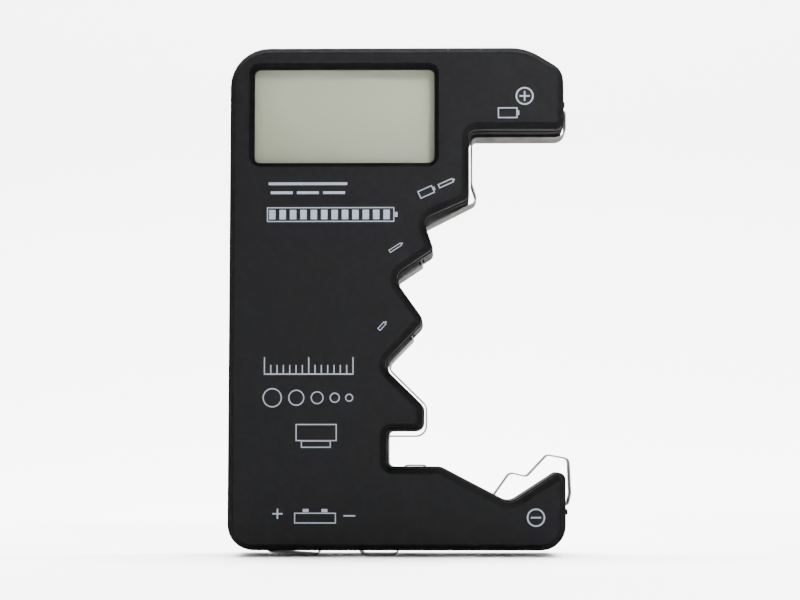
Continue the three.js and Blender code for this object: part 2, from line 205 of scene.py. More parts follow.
def makeInk():
    material, start, where = newMaterial("printedInk")
    screen = start.noise(where, 6500, 2, 0.6)
    patch = start.noise(where, 420, 3, 0.6)
    tone = (screen * 0.5 + patch * 0.5).limits(0.4, 0.6)
    low, high = inkLook["roughness"]
    return finishMaterial(material, start, {
        "Base Color": tone.blend(inkLook["thin"], inkLook["base"]),
        "Roughness": patch.limits(0.3, 0.7, low, high),
        "Normal": screen.bump(inkLook["screenHeight"], 0.5),
    })


contactLook = {
    "bright": (0.135, 0.130, 0.125, 1),
    "dull": (0.088, 0.084, 0.080, 1),
    "edgeTint": (0.16, 0.16, 0.16, 1),
    "roughness": (0.40, 0.54),
    "rollMarks": 0.006 * mm,
}


def makeContactMetal(name, streak):
    material, start, where = newMaterial(name)
    roll = start.noise(where.stretched(streak), 900, 3, 0.6)
    fine = start.noise(where.stretched(streak), 5200, 2, 0.5)
    stain = start.noise(where, 260, 4, 0.65).limits(0.44, 0.66)
    low, high = contactLook["roughness"]
    return finishMaterial(material, start, {
        "Base Color": (stain * 0.75 + fine * 0.25).blend(contactLook["bright"], contactLook["dull"]),
        "Metallic": 1.0,
        "Specular Tint": contactLook["edgeTint"],
        "Roughness": (roll * 0.6 + stain * 0.4).limits(0.2, 0.8, low, high),
        "Normal": (roll * 0.5 + fine * 0.5).bump(contactLook["rollMarks"], 0.7),
    })


screwLook = {
    "plate": (0.50, 0.50, 0.52, 1),
    "dull": (0.30, 0.30, 0.31, 1),
    "roughness": (0.26, 0.45),
    "swirlHeight": 0.01 * mm,
}


def makeScrewMetal():
    material, start, where = newMaterial("zincPlatedScrew")
    spots = start.noise(where, 1500, 4, 0.65)
    swirl = start.noise(where.stretched((1, 6, 1)), 2600, 2, 0.5)
    low, high = screwLook["roughness"]
    return finishMaterial(material, start, {
        "Base Color": spots.limits(0.4, 0.65).blend(screwLook["plate"], screwLook["dull"]),
        "Metallic": 1.0,
        "Roughness": swirl.limits(0.3, 0.7, low, high),
        "Normal": swirl.bump(screwLook["swirlHeight"], 0.6),
    })


displayLook = {
    "pale": (0.084, 0.090, 0.054, 1),
    "deep": (0.081, 0.087, 0.052, 1),
    "roughness": (0.42, 0.52),
    "gloss": 0.35,
    "fibreHeight": 0.002 * mm,
}


def makeDisplay():
    material, start, where = newMaterial("blankDisplay")
    haze = start.noise(where, 38, 3, 0.5)
    fibre = start.noise(where.stretched((1, 1, 0.25)), 9000, 2, 0.5)
    low, high = displayLook["roughness"]
    tone = (haze * 0.75 + fibre * 0.25).limits(0.38, 0.62)
    return finishMaterial(material, start, {
        "Base Color": tone.blend(displayLook["deep"], displayLook["pale"]),
        "Roughness": haze.limits(0.3, 0.7, low, high),
        "Specular IOR Level": displayLook["gloss"],
        "Normal": fibre.bump(displayLook["fibreHeight"], 0.4),
    })


lensLook = {
    "tint": (0.80, 0.82, 0.74, 1),
    "smeared": (0.7, 0.72, 0.66, 1),
    "alpha": (0.025, 0.045),
    "roughness": (0.16, 0.24),
}


def makeLens():
    material, start, where = newMaterial("clearWindow")
    smear = start.noise(where.stretched((1, 1, 2.5)), 85, 4, 0.6)
    low, high = lensLook["roughness"]
    thin, thick = lensLook["alpha"]
    return finishMaterial(material, start, {
        "Base Color": smear.limits(0.3, 0.7).blend(lensLook["tint"], lensLook["smeared"]),
        "Roughness": smear.limits(0.35, 0.7, low, high),
        "Alpha": smear.limits(0.4, 0.7, thin, thick),
    })


def makeSpeckled(name, first, second, scale, roughness, height, metallic):
    material, start, where = newMaterial(name)
    coarse = start.noise(where, scale, 4, 0.6)
    fine = start.noise(where, scale * 7, 2, 0.5)
    return finishMaterial(material, start, {
        "Base Color": (coarse * 0.6 + fine * 0.4).limits(0.38, 0.62).blend(first, second),
        "Metallic": metallic,
        "Roughness": coarse.limits(0.3, 0.7, roughness[0], roughness[1]),
        "Normal": fine.bump(height, 0.7),
    })


boardLook = {
    "bare": (0.05, 0.22, 0.08, 1),
    "track": (0.018, 0.12, 0.04, 1),
    "roughness": (0.3, 0.42),
    "trackHeight": 0.03 * mm,
}


def makeBoard():
    material, start, where = newMaterial("solderMaskBoard")
    weave = start.node("ShaderNodeTexWave", {"wave_type": "BANDS", "bands_direction": "X"},
                       {"Vector": where, "Scale": 900.0, "Distortion": 0.6})
    cells = start.node("ShaderNodeTexVoronoi", {"feature": "DISTANCE_TO_EDGE", "distance": "MANHATTAN"},
                       {"Vector": where, "Scale": 260.0})
    tracks = cells.limits(0.06, 0.1)
    low, high = boardLook["roughness"]
    return finishMaterial(material, start, {
        "Base Color": tracks.blend(boardLook["bare"], boardLook["track"]),
        "Roughness": weave.limits(0, 1, low, high),
        "Normal": (tracks * 0.7 + weave * 0.3).bump(boardLook["trackHeight"], 0.5),
    })


shellPlastic = makeShellPlastic()
ink = makeInk()
contactMetal = makeContactMetal("nickelPlatedStrip", (1, 0.15, 1))
displayGlass = makeDisplay()
clearWindow = makeLens()
screwMetal = makeScrewMetal()

# first and second colour, speckles per metre, roughness, height of the relief, metallic
speckledLooks = {
    "offWhiteFramePlastic": ((0.66, 0.65, 0.60, 1), (0.60, 0.59, 0.55, 1), 300, (0.45, 0.6), 0.01 * mm, 0),
    "reflectorFoil": ((0.6, 0.6, 0.56, 1), (0.5, 0.5, 0.47, 1), 500, (0.3, 0.5), 0.004 * mm, 0.8),
    "elastomerRubber": ((0.75, 0.46, 0.40, 1), (0.62, 0.36, 0.32, 1), 700, (0.6, 0.8), 0.01 * mm, 0),
    "curedResin": ((0.008, 0.008, 0.009, 1), (0.014, 0.014, 0.015, 1), 400, (0.22, 0.4), 0.02 * mm, 0),
    "sinteredFerrite": ((0.026, 0.026, 0.029, 1), (0.045, 0.045, 0.048, 1), 900, (0.5, 0.7), 0.03 * mm, 0),
    "drawnCan": ((0.55, 0.56, 0.58, 1), (0.46, 0.47, 0.49, 1), 800, (0.25, 0.4), 0.006 * mm, 1),
    "ceramicChip": ((0.013, 0.013, 0.015, 1), (0.022, 0.022, 0.024, 1), 1200, (0.35, 0.5), 0.008 * mm, 0),
    "redSleeve": ((0.38, 0.014, 0.012, 1), (0.30, 0.01, 0.01, 1), 500, (0.4, 0.55), 0.01 * mm, 0),
    "blackSleeve": ((0.010, 0.010, 0.011, 1), (0.018, 0.018, 0.019, 1), 500, (0.4, 0.55), 0.01 * mm, 0),
}
finishes = {name: makeSpeckled(name, *look) for name, look in speckledLooks.items()}
finishes["solderMaskBoard"] = makeBoard()
print("materials made:", len(bpy.data.materials))


def unit(x, z):
    length = math.hypot(x, z)
    return x / length, z / length


# Moves every corner to the left of the direction of travel; a corner's radius follows.
def offsetCorners(corners, distance, closed=True):
    moved = []
    last = len(corners) - 1
    for i, (x, z, radius) in enumerate(corners):
        before = corners[i - 1] if closed or i > 0 else None
        after = corners[(i + 1) % len(corners)] if closed or i < last else None
        inward = unit(x - before[0], z - before[1]) if before else None
        outward = unit(after[0] - x, after[1] - z) if after else None
        inward = inward or outward
        outward = outward or inward
        reach = distance / (1 + inward[0] * outward[0] + inward[1] * outward[1])
        turn = inward[0] * outward[1] - inward[1] * outward[0]
        newRadius = max(radius - distance * math.copysign(1, turn), 0.02) if radius else 0
        moved.append((x - (inward[1] + outward[1]) * reach, z + (inward[0] + outward[0]) * reach, newRadius))
    return moved


# Points round a closed outline, with an arc at each corner that has a radius.
def roundedLoop(corners, arcSteps=8):
    points = []
    for i, (x, z, radius) in enumerate(corners):
        if not radius:
            points.append((x, z))
            continue
        x0, z0, _ = corners[i - 1]
        x1, z1, _ = corners[(i + 1) % len(corners)]
        toBefore = unit(x0 - x, z0 - z)
        toAfter = unit(x1 - x, z1 - z)
        middle = unit(toBefore[0] + toAfter[0], toBefore[1] + toAfter[1])
        half = math.acos(max(-1, min(1, toBefore[0] * toAfter[0] + toBefore[1] * toAfter[1]))) / 2
        centreX = x + middle[0] * radius / math.sin(half)
        centreZ = z + middle[1] * radius / math.sin(half)
        reach = radius / math.tan(half)
        first = math.atan2(z + toBefore[1] * reach - centreZ, x + toBefore[0] * reach - centreX)
        sweep = math.pi - 2 * half
        side = 1 if toBefore[0] * toAfter[1] - toBefore[1] * toAfter[0] < 0 else -1
        for step in range(arcSteps + 1):
            angle = first + side * sweep * step / arcSteps
            points.append((centreX + radius * math.cos(angle), centreZ + radius * math.sin(angle)))
    return points


def circleLoop(x, z, radius, count=32):
    turn = 2 * math.pi / count
    return [(x + radius * math.cos(i * turn), z + radius * math.sin(i * turn)) for i in range(count)]


def boxLoop(left, right, bottom, top):
    return [(left, top), (right, top), (right, bottom), (left, bottom)]


# Rings of equal length are joined in order; the two end rings are left open for a cap.
def loft(mesh, rings):
    rows = [[mesh.verts.new(place(x, y, z)) for x, z in points] for points, y in rings]
    for low, high in zip(rows, rows[1:]):
        for i in range(len(low)):
            mesh.faces.new((low[i - 1], low[i], high[i], high[i - 1]))
    return rows[0], rows[-1]


# Closes a flat region bounded by one ring, with holes where the other rings are.
def fillFlat(mesh, *rings):
    edges = []
    for ring in rings:
        for i, corner in enumerate(ring):
            edges.append(mesh.edges.get((ring[i - 1], corner)) or mesh.edges.new((ring[i - 1], corner)))
    bmesh.ops.triangle_fill(mesh, use_beauty=True, use_dissolve=False, edges=edges)


def makePiece(name, mesh, material, body, node=None, smooth=35, weighted=True):
    bmesh.ops.remove_doubles(mesh, verts=mesh.verts, dist=1e-7)
    bmesh.ops.recalc_face_normals(mesh, faces=mesh.faces)
    data = bpy.data.meshes.new(name)
    mesh.to_mesh(data)
    mesh.free()
    data.shade_smooth()
    data.set_sharp_from_angle(angle=math.radians(smooth))
    data.materials.append(material)
    piece = bpy.data.objects.new(name, data)
    bpy.context.scene.collection.objects.link(piece)
    if weighted:
        weightNormals(piece)
    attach(piece, body)
    if node:
        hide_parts(*([node] if isinstance(node, str) else node))
    return piece


def applyModifier(piece, modifier):
    bpy.context.view_layer.objects.active = piece
    bpy.ops.object.modifier_apply(modifier=modifier.name)


def weightNormals(piece):
    modifier = piece.modifiers.new("weighted", "WEIGHTED_NORMAL")
    modifier.keep_sharp = True
    modifier.weight = 60
    applyModifier(piece, modifier)


caseLook = {
    # corners clockwise from the top left, in millimetres from the middle of the lower edge
    "outline": [
        (-31.8, 95.3, 7.6), (24.6, 95.3, 10.5), (31.8, 90.9, 3.8),
        (31.8, 79.3, 1.6), (13.75, 79.3, 1.4),
        (13.75, 66.15, 1.5), (5.05, 62.4, 1.9),
        (7.05, 56.65, 1.15), (-0.65, 51.5, 2.2),
        (5.35, 43.1, 1.75), (-2.7, 34.75, 1.9),
        (5.1, 27.1, 1.5), (5.1, 22.45, 1.7), (-1.7, 22.45, 0.85), (-1.7, 15.7, 1.0), (8.3, 15.7, 2.3),
        (21.3, 8.9, 2.65), (31.8, 15.7, 1.3), (31.8, 0, 4.7), (-31.8, 0, 4.95),
    ],
    "edgeRound": 1.45,
    "roundSteps": 8,
    "frontInset": 0.2,  # the rear shell stands this much proud of the front one
    # front chamfer: how far in from the side, and how deep behind the face
    "chamfer": [(0, 1.3), (0.03, 1.16), (0.12, 1.04), (0.96, 0.12), (1.06, 0.03), (1.2, 0)],
    "cavity": 2.35,
    "tongue": 1.95,
    "seam": 0.12,
    "seamEdge": 0.06,
    "rearSeamEdge": 0.12,
    "wall": 1.8,
    "tongueDepth": 1.2,
    "wearAndSheenReach": 0.25,
    "frontWearAndSheenAt": 0.03,  # behind the face
    "rearWearAt": 0.35,  # ahead of the back
}

windowLook = {
    "corners": [(-27.9, 92.0, 2.0), (8.0, 92.0, 2.0), (8.0, 72.25, 2.0), (-27.9, 72.25, 2.0)],
    # how far in from the edge, and how deep behind the face
    "profile": [(-0.08, 0.0), (0.0, 0.03), (0.08, 0.12), (0.76, 1.0), (0.83, 1.12), (0.85, 1.3), (0.85, 2.4),
                (-0.2, 2.4), (-0.2, 1.8)],
}


def caseRing(inset, y):
    return roundedLoop(offsetCorners(caseLook["outline"], -inset), 8), y


def roundedEdge(inset, near, far):
    radius = caseLook["edgeRound"]
    steps = caseLook["roundSteps"]
    side = 1 if far > near else -1
    rings = []
    for step in range(steps + 1):
        angle = math.pi / 2 * step / steps
        rings.append((inset + radius * (1 - math.cos(angle)), far - side * radius * (1 - math.sin(angle))))
    rings.append((inset + radius + 0.06, far))
    return rings


# Marks how near each vertex is to a worn edge: the front and rear roundings and the seam. The lighter band
# there is rubbed wear, and along the face edge and the seam also a painted highlight.
def markWearSheenAndShade(piece, edges):
    piece.data.attributes.new("edgeWear", "FLOAT", "POINT")
    piece.data.attributes.new("smoothSide", "FLOAT", "POINT")
    wearAndSheen = piece.data.attributes["edgeWear"].data
    sides = piece.data.attributes["smoothSide"].data
    for i, vertex in enumerate(piece.data.vertices):
        depth = vertex.co.y / mm
        wearAndSheen[i].value = max(0.0, 1 - min(abs(depth - edge) for edge in edges) / caseLook["wearAndSheenReach"])
        # painted shade mask: every vertex between the face and the back, which gets the near-black side
        # colour
        sides[i].value = 1.0 if faceY + flatSlack < depth < backY - flatSlack else 0.0


def makeFrontShell():
    inset = caseLook["frontInset"]
    near = seamY - caseLook["seam"] / 2
    tongueEnd = near + caseLook["tongueDepth"]
    floor = faceY + caseLook["wall"]
    cavity, tongue = caseLook["cavity"], caseLook["tongue"]
    rings = [(cavity, floor), (cavity, tongueEnd), (tongue, tongueEnd), (tongue, near)]
    edge = caseLook["seamEdge"]
    rings += [(inset + edge, near), (inset, near - edge)]
    rings += [(inset + step, faceY + depth) for step, depth in caseLook["chamfer"]]
    mesh = bmesh.new()
    inner, outer = loft(mesh, [caseRing(*ring) for ring in rings])
    windowRings = [(roundedLoop(offsetCorners(windowLook["corners"], -step), 8), faceY + depth)
                   for step, depth in windowLook["profile"]]
    windowFront, windowBack = loft(mesh, windowRings)
    fillFlat(mesh, outer, windowFront)
    fillFlat(mesh, inner, windowBack)
    piece = makePiece("frontShell", mesh, shellPlastic, "case", "front_shell")
    markWearSheenAndShade(piece, [faceY + caseLook["frontWearAndSheenAt"], near])
    return piece


postLook = {
    "places": [(20.5, 87), (-25.5, 56), (-25.5, 12), (12, 6.2)],
    # rounded mouth of the bore: how far out from it, and how deep behind the back
    "mouth": [(0.34, 0), (0.28, 0), (0.1, 0.07), (0, 0.25)],
    "bore": 2.45,
    "hole": 1.25,
    "seat": 5.2,
    "end": 1.3,
    "tube": 3.35,
    "rim": 0.2,
}


def cutter(name, mesh):
    data = bpy.data.meshes.new(name)
    bmesh.ops.recalc_face_normals(mesh, faces=mesh.faces)
    mesh.to_mesh(data)
    mesh.free()
    piece = bpy.data.objects.new(name, data)
    bpy.context.scene.collection.objects.link(piece)
    return piece


def combine(piece, tool, operation):
    modifier = piece.modifiers.new(operation, "BOOLEAN")
    modifier.object = tool
    modifier.operation = operation
    modifier.solver = "MANIFOLD"
    applyModifier(piece, modifier)
    bpy.data.objects.remove(tool)
    if not piece.data.vertices:
        raise RuntimeError(f"{operation} left nothing of {piece.name}")


# A straight-sided slot between two points of the outline's plane, with sharp corners.
def slotBlock(mesh, start, end, height, width):
    along = Vector((end[0] - start[0], end[1] - start[1]))
    across = Vector((-along.y, along.x)).normalized() * height / 2
    corners = [
        (start[0] - across.x, start[1] - across.y, 0), (start[0] + across.x, start[1] + across.y, 0),
        (end[0] + across.x, end[1] + across.y, 0), (end[0] - across.x, end[1] - across.y, 0),
    ]
    points = roundedLoop(corners)
    low, high = loft(mesh, [(points, stripY - width / 2), (points, stripY + width / 2)])
    mesh.faces.new(low)
    mesh.faces.new(high)


slotLook = {
    "width": 6.2,
    "height": 1.0,
    # stretches of the contacts that pass through the wall: start, end
    "strips": [
        ((28, 84), (32.8, 84)), ((7.4, 62.44), (1.5, 59.46)), ((4.15, 57), (4.87, 54.1)),
        ((1.6, 52), (-3, 48.94)), ((2.15, 42.8), (3.07, 39.85)), ((-0.6, 21.5), (-4.5, 21.5)),
    ],
    # left, right, bottom, top of the larger openings
    "openings": [(16.9, 20.1, 5, 12.5), (29.2, 33, 7.85, 9.15), (-0.95, 7.4, 13, 17),
                 (-26.5, -12.7, -1, 2.4), (-9.4, 2.1, -1, 2.4)],
    # lips beside the strip ends: bottom, top, how far they stand out
    "lips": [(84.6, 85.7, 0.38), (6.6, 7.7, 0.52)],
    "lipRoot": 0.9,
    "lipCorner": 0.25,
    "lipWidth": 5.8,
}


def makeRearShell():
    near = seamY + caseLook["seam"] / 2
    floor = backY - caseLook["wall"]
    wall, edge = caseLook["wall"], caseLook["rearSeamEdge"]
    rings = [(wall, floor), (wall, near), (edge, near), (0, near + edge)] + roundedEdge(0, near, backY)
    mesh = bmesh.new()
    inner, outer = loft(mesh, [caseRing(*ring) for ring in rings])
    backLoops = []
    floorLoops = []
    for x, z in postLook["places"]:
        bore, hole, tube = postLook["bore"], postLook["hole"], postLook["tube"]
        end, rim = postLook["end"], postLook["rim"]
        profile = [
            *[(bore + step, backY - depth) for step, depth in postLook["mouth"]],
            (bore, postLook["seat"]), (hole, postLook["seat"]), (hole, end), (tube - rim, end),
            (tube, end + rim), (tube, floor),
        ]
        first, last = loft(mesh, [(circleLoop(x, z, radius), y) for radius, y in profile])
        backLoops.append(first)
        floorLoops.append(last)
    fillFlat(mesh, outer, *backLoops)
    fillFlat(mesh, inner, *floorLoops)
    piece = makePiece("rearShell", mesh, shellPlastic, "case", "rear_shell", weighted=False)
    lips = bmesh.new()
    side = max(x for x, z, radius in caseLook["outline"])
    root, corner, half = side - slotLook["lipRoot"], slotLook["lipCorner"], slotLook["lipWidth"] / 2
    for bottom, top, reach in slotLook["lips"]:
        tip = side + reach
        points = roundedLoop([(root, bottom, 0), (root, top, 0), (tip, top, corner), (tip, bottom, corner)])
        low, high = loft(lips, [(points, stripY - half), (points, stripY + half)])
        lips.faces.new(low)
        lips.faces.new(high)
    combine(piece, cutter("lipBlocks", lips), "UNION")
    slots = bmesh.new()
    for start, end in slotLook["strips"]:
        slotBlock(slots, start, end, slotLook["height"], slotLook["width"])
    for left, right, bottom, top in slotLook["openings"]:
        middle = (bottom + top) / 2
        slotBlock(slots, (left, middle), (right, middle), top - bottom, slotLook["width"])
    combine(piece, cutter("contactSlots", slots), "DIFFERENCE")
    piece.data.set_sharp_from_angle(angle=math.radians(35))
    weightNormals(piece)
    markWearSheenAndShade(piece, [near, backY - caseLook["rearWearAt"]])
    return piece


makeFrontShell()
makeRearShell()
print("case made")


stripLook = {"sheet": 0.3, "width": 5.5, "burr": 0.05, "bendSteps": 6}

# centre lines of the bent strips: x, z, bend radius
contactLines = {
    "positiveContactLarge": ("positive_contact_d_c_aa", "case", [
        (26, 84, 0), (32.3, 84, 0.7), (32.3, 78.75, 1.9), (14.25, 78.75, 1), (14.25, 69.8, 2.2),
        (15.35, 66.45, 1.4), (-0.4, 58.5, 0)]),
    "positiveContactAaa": ("positive_contact_aaa", "case", [
        (4, 57.6, 0), (4.85, 54.17, 0.5), (-3.8, 48.4, 0)]),
    "positiveContactN": ("positive_contact_n_button", "case", [
        (1.9, 43.6, 0), (3.05, 39.9, 0.5), (-1.98, 34.68, 1.4), (5.55, 27.29, 1.95), (5.55, 21.5, 2),
        (-6, 21.5, 0)]),
    "negativeSpring": ("negative_spring", "negative_spring", [
        (16, 7.05, 0), (21.4, 14.55, 1), (24.6, 13.8, 1), (28.5, 17.95, 1), (32.6, 17.2, 1),
        (32.9, 10.65, 1), (32.4, 8.5, 0.6), (28.2, 8.5, 0)]),
    "buttonCellLeaf": ("button_cell_leaf", "button_cell_leaf", [
        (-4, 12.8, 0), (-0.6, 12.8, 0.8), (1.6, 15.95, 0.8), (5.2, 15.95, 0.8), (6.7, 14.5, 0)]),
    "nineVoltLongLeaf": ("nine_volt_long_leaf", "nine_volt_long_leaf", [
        (-28.4, 2.9, 0), (-26.2, 2.9, 0.8), (-24.3, -0.35, 0.9), (-15.1, -0.9, 0.8), (-13.8, 1.8, 0)]),
    "nineVoltShortLeaf": ("nine_volt_short_leaf", "nine_volt_short_leaf", [
        (4.2, 2.9, 0), (1.9, 2.9, 0.8), (-0.2, -0.9, 1.2), (-6.6, -0.9, 1.2), (-8.2, 2.2, 0)]),
}


def ribbonLoop(line, inset):
    half = stripLook["sheet"] / 2 - inset
    left = offsetCorners(line, half, False)
    right = offsetCorners(line, -half, False)[::-1]
    return roundedLoop(left + right, stripLook["bendSteps"])


def makeStrip(name, node, body, line):
    half = stripLook["width"] / 2
    burr = stripLook["burr"]
    mesh = bmesh.new()
    stations = [(burr, -half), (burr * 0.3, -half + burr * 0.3), (0, -half + burr)]
    stations += [(inset, -y) for inset, y in stations[::-1]]
    low, high = loft(mesh, [(ribbonLoop(line, inset), stripY + y) for inset, y in stations])
    fillFlat(mesh, low)
    fillFlat(mesh, high)
    return makePiece(name, mesh, contactMetal, body, node, smooth=40)


for name, (node, body, line) in contactLines.items():
    makeStrip(name, node, body, line)
print("contacts made:", len(contactLines))


def makePlate(name, node, material, corner, edge):
    low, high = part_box(node)
    left, right = (low[0] - caseX) / mm, (high[0] - caseX) / mm
    bottom, top = (low[2] - caseZ) / mm, (high[2] - caseZ) / mm
    near, far = low[1] / mm, high[1] / mm
    corners = [(u, v, corner) for u, v in boxLoop(left, right, bottom, top)]
    mesh = bmesh.new()
    stations = [(edge, near), (edge * 0.3, near + edge * 0.3), (0, near + edge), (0, far - edge),
                (edge * 0.3, far - edge * 0.3), (edge, far)]
    front, back = loft(mesh, [(roundedLoop(offsetCorners(corners, -inset), 6), y) for inset, y in stations])
    mesh.faces.new(front)
    mesh.faces.new(back)
    return makePiece(name, mesh, material, "case", node)


makePlate("windowLens", "display_lens", clearWindow, 1.2, 0.1)
makePlate("displayFrontGlass", "display_front_glass", displayGlass, 0.3, 0.06)
makePlate("displayRearGlass", "display_rear_glass", displayGlass, 0.3, 0.06)
makePlate("displayReflector", "display_reflector", finishes["reflectorFoil"], 0.5, 0.03)
print("display made")


# Shares of the head's radius, unless a note says otherwise
screwShape = {
    "shank": 0.45,
    "headHeight": 0.7,
    "rim": 0.3,
    "dome": 0.38,
    "crown": 0.55,
    "flat": 0.5,
    "crossDepth": 0.5,
    "crossReach": 0.62,
    "pitch": 0.75,  # of the shank's radius, as are the next three
    "root": 0.74,
    "tip": 0.7,
    "neck": 0.8,
    "pointRadius": 0.05,  # in millimetres, as are the next three
    "pointLength": 0.9,
    "headEdge": 0.12,
    "headEdgeRise": 0.15,
    "domeSteps": 6,
}


def makeScrew(name, node, crossWidth):
    shape = screwShape
    low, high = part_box(node)
    x = ((low[0] + high[0]) / 2 - caseX) / mm
    z = ((low[2] + high[2]) / 2 - caseZ) / mm
    tip, top = low[1] / mm, high[1] / mm
    head = (high[0] - low[0]) / mm / 2
    shank = head * shape["shank"]
    under = top - head * shape["headHeight"]
    y = tip + shape["pointLength"]
    profile = [(shape["pointRadius"], tip), (shank * shape["tip"], y)]
    pitch = shank * shape["pitch"]
    root = shank * shape["root"]
    while y + pitch < under:  # rolled thread
        profile += [(root, y + pitch * 0.3), (shank, y + pitch * 0.5), (root, y + pitch * 0.7)]
        y += pitch
    profile += [(shank * shape["neck"], under), (head - shape["headEdge"], under)]
    rim = under + head * shape["rim"]
    profile += [(head, under + shape["headEdgeRise"]), (head, rim)]
    crown = shape["crown"]
    for step in range(1, shape["domeSteps"]):
        angle = math.pi / 2 * step / shape["domeSteps"]
        radius = head * (crown + (1 - crown) * math.cos(angle))
        profile.append((radius, rim + head * shape["dome"] * math.sin(angle)))
    profile.append((head * shape["flat"], top))
    mesh = bmesh.new()
    first, last = loft(mesh, [(circleLoop(x, z, radius), y) for radius, y in profile])
    mesh.faces.new(first)
    mesh.faces.new(last)
    piece = makePiece(name, mesh, screwMetal, "case", node, weighted=False)
    cross = bmesh.new()
    depth = head * shape["crossDepth"]
    arm = head * shape["crossReach"]
    for long, wide in ((arm, crossWidth / 2), (crossWidth / 2, arm)):
        outer = [(u, v, 0) for u, v in boxLoop(x - long, x + long, z - wide, z + wide)]
        shrink = min(long, wide) * 0.3
        ends = [(roundedLoop(offsetCorners(outer, -shrink)), top - depth), (roundedLoop(outer), top + 0.2)]
        low, high = loft(cross, ends)
        cross.faces.new(low)
        cross.faces.new(high)
    combine(piece, cutter("crossBit", cross), "DIFFERENCE")
    piece.data.set_sharp_from_angle(angle=math.radians(35))
    weightNormals(piece)
    return piece


for number in range(1, 5):
    makeScrew(f"caseScrew{number}", f"case_screw_{number}", 0.62)
for number in range(1, 3):
    makeScrew(f"boardScrew{number}", f"board_screw_{number}", 0.46)
print("screws made")


carried = {
    "display_frame": "offWhiteFramePlastic",
    "display_elastomer": "elastomerRubber",
    "main_board": "solderMaskBoard",
    "tester_chip_resin": "curedResin",
    "step_up_inductor": "sinteredFerrite",
    "capacitor_1": "drawnCan",
    "capacitor_2": "drawnCan",
    "resistor_1": "ceramicChip",
    "resistor_2": "ceramicChip",
    "resistor_3": "ceramicChip",
    "resistor_4": "ceramicChip",
    "blocking_diode": "ceramicChip",
    "lead_d_c_aa": "redSleeve",
    "lead_aaa": "redSleeve",
    "lead_n_button": "redSleeve",
    "lead_nine_volt_long": "redSleeve",
    "lead_negative": "blackSleeve",
    "lead_button_cell": "blackSleeve",
    "lead_nine_volt_short": "blackSleeve",
}
for node, finish in carried.items():
    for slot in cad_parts[node].material_slots:
        slot.material = finishes[finish]
print("inner pieces finished:", len(carried))


markLook = {
    "lift": 0.012,
    "thickness": 0.03,
    "line": 0.2,
    # round cells to one scale: middle x and z, tilt in degrees, length, width
    "cells": {
        "cellMarkD": (21.0, 82.4, 0, 3.7, 2.05),
        "cellMarkC": (5.6, 67.35, 24, 3.0, 1.57),
        "cellMarkAa": (9.3, 69.0, 24, 3.03, 0.87),
        "cellMarkAaa": (-0.2, 56.8, 33, 2.67, 0.63),
        "cellMarkN": (-2.7, 42.0, 48, 1.81, 0.72),
    },
    "cap": (0.04, 0.3, 0.42),  # start and end of a cell's cap beyond it, and its share of the width
    # left, right, bottom, top, and the number of bars, dashes or ticks
    "gauge": (-24.4, 0.2, 61.7, 64.5, 12),
    "direct": (-24.1, -9.3, 67.0, 69.2, 3),
    "ruler": (-24.8, -8.0, 32.9, 36.2, 15),
    "gaugeCap": 0.6,
    "gaugeCapGap": 0.05,
    "gaugeMargin": (0.4, 0.1),
    "gaugeInset": 0.5,
    "barShare": 0.62,
    "dashHeight": 0.5,
    "dashGap": 0.4,
    "rulerBase": 0.25,
    "tickFoot": 0.3,
    "tick": 0.2,
    "longEvery": 7,
    "coins": [(-23.2, 1.8), (-18.7, 1.5), (-14.8, 1.2), (-11.5, 0.95), (-8.8, 0.75)],
    "coinsZ": 28.6,
    "buttonUpper": (-18.8, -11.1, 20.5, 23.7),
    "buttonLower": (-17.8, -12.2, 19.25, 20.6),
    "polarity": {"plusMark": (24.2, 85.6), "minusMark": (26.0, 6.3)},
    "ring": (1.7, 1.42),
    "arm": 0.95,
    "armHalf": 0.14,
    # the square battery between its two signs, and the two studs on it
    "blockPlus": (-22.1, 7.0, 0.13),
    "blockMinus": (-9.8, -7.6, 6.5, 6.76),
    "block": (-19.0, -11.2, 5.2, 7.2),
    "studs": [(-17.4, -16.3, 7.3, 7.9), (-13.9, -12.8, 7.3, 7.9)],
}


def printOutline(mesh, outer, inner=None):
    near = faceY - markLook["lift"]
    far = near + markLook["thickness"]
    loops = [outer] + ([inner] if inner else [])
    ends = [loft(mesh, [(loop, near), (loop, far)]) for loop in loops]
    fillFlat(mesh, *[low for low, high in ends])
    fillFlat(mesh, *[high for low, high in ends])


def printBar(mesh, left, right, bottom, top):
    printOutline(mesh, boxLoop(left, right, bottom, top))


def printFrame(mesh, left, right, bottom, top):
    line = markLook["line"]
    printOutline(mesh, boxLoop(left, right, bottom, top),
                 boxLoop(left + line, right - line, bottom + line, top - line))


def printPlus(mesh, x, z, arm, half):
    printOutline(mesh, [
        (x - half, z + arm), (x + half, z + arm), (x + half, z + half), (x + arm, z + half),
        (x + arm, z - half), (x + half, z - half), (x + half, z - arm), (x - half, z - arm),
        (x - half, z - half), (x - arm, z - half), (x - arm, z + half), (x - half, z + half)])


def makeMark(name, mesh):
    return makePiece(name, mesh, ink, "case", weighted=False)


# A round cell seen from the side, with the cap at its positive end.
def makeCellMark(name, x, z, tilt, length, width):
    line = markLook["line"]
    turn = math.radians(tilt)

    def tilted(points):
        return [(x + u * math.cos(turn) - v * math.sin(turn), z + u * math.sin(turn) + v * math.cos(turn))
                for u, v in points]

    mesh = bmesh.new()
    long, wide = length / 2, width / 2
    fine = min(line, wide * 0.45)
    printOutline(mesh, tilted(boxLoop(-long, long, -wide, wide)),
                 tilted(boxLoop(fine - long, long - fine, fine - wide, wide - fine)))
    near, far, share = markLook["cap"]
    printOutline(mesh, tilted(boxLoop(long + near, long + far, -wide * share, wide * share)))
    return makeMark(name, mesh)


